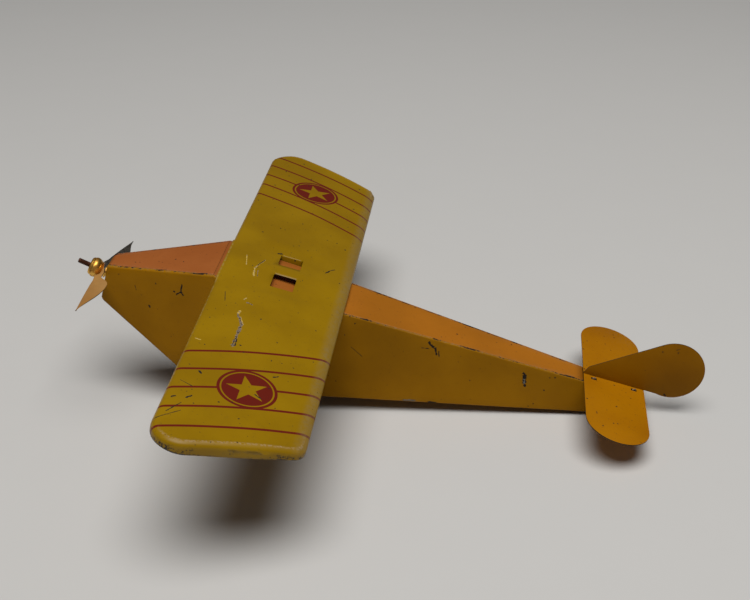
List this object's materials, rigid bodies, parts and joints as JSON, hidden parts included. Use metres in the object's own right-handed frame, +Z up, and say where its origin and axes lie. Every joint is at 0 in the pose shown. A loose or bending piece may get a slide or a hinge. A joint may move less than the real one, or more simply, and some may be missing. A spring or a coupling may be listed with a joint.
{
  "type": "toy airplane",
  "caption": "Pressed-steel high-wing toy airplane that stands on two free-rolling disc wheels and a tail skid, with a hand-spun propeller on a threaded stud.",
  "frame": {"origin": "centre of the overall box, on the floor that the wheels and the tail skid stand on", "axes": "+Z up; the nose points along -X and the tail along +X; +Y is starboard. The wing plane is 14.7 degrees nose-up against the floor."},
  "size_m": [0.5852, 0.5574, 0.1429],
  "materials": {
    "mustard_paint": "old semi-gloss enamel on pressed steel, chipped at the edges",
    "orange_paint": "old satin enamel, faded, with dark chips",
    "wing_paint": "old semi-gloss enamel with dark red stripes and a ringed star near each tip",
    "tailplane_paint": "semi-gloss enamel, lightly speckled",
    "prop_paint": "worn tan enamel over tinned sheet",
    "wheel_paint": "semi-gloss enamel on dished steel discs",
    "brass": "aged and slightly tarnished",
    "plain_steel": "dull, aged",
    "rusty_steel": "browned thread, light rust",
    "tyre_rubber": "matt, aged"
  },
  "bodies": {
    "airframe": {"port_side": "mustard_paint", "starboard_side": "mustard_paint", "nose_deck": "orange_paint", "main_deck": "orange_paint", "belly_plate": "mustard_paint", "nose_plate": "mustard_paint", "nose_bush": "brass", "shaft_bracket": "plain_steel", "wing_pan": "wing_paint", "tailplane": "tailplane_paint", "fin": "mustard_paint", "tail_cap": "mustard_paint", "tail_skid": "plain_steel", "axle": "plain_steel", "axle_eyelets": "brass", "axle_washers": "plain_steel", "axle_caps": "plain_steel"},
    "propeller": {"prop_stud": "rusty_steel", "prop_washer": "plain_steel", "prop_blades": "prop_paint", "prop_hub": "brass", "stud_washer": "plain_steel", "stud_nut": "plain_steel"},
    "port_wheel": {"port_outer_disc": "wheel_paint", "port_inner_disc": "wheel_paint", "port_wheel_tube": "plain_steel", "port_tyre": "tyre_rubber"},
    "starboard_wheel": {"starboard_outer_disc": "wheel_paint", "starboard_inner_disc": "wheel_paint", "starboard_wheel_tube": "plain_steel", "starboard_tyre": "tyre_rubber"}
  },
  "joints": [
    {"name": "propeller_spin", "type": "hinge", "parent": "airframe", "child": "propeller", "pos_m": [-0.26421, 0, 0.11924], "axis": [-0.9157, 0, 0.4019], "continuous": true},
    {"name": "port_wheel_spin", "type": "hinge", "parent": "airframe", "child": "port_wheel", "pos_m": [-0.16838, -0.0479, 0.03], "axis": [0, 1, 0], "continuous": true},
    {"name": "starboard_wheel_spin", "type": "hinge", "parent": "airframe", "child": "starboard_wheel", "pos_m": [-0.16838, 0.0479, 0.03], "axis": [0, 1, 0], "continuous": true}
  ]
}
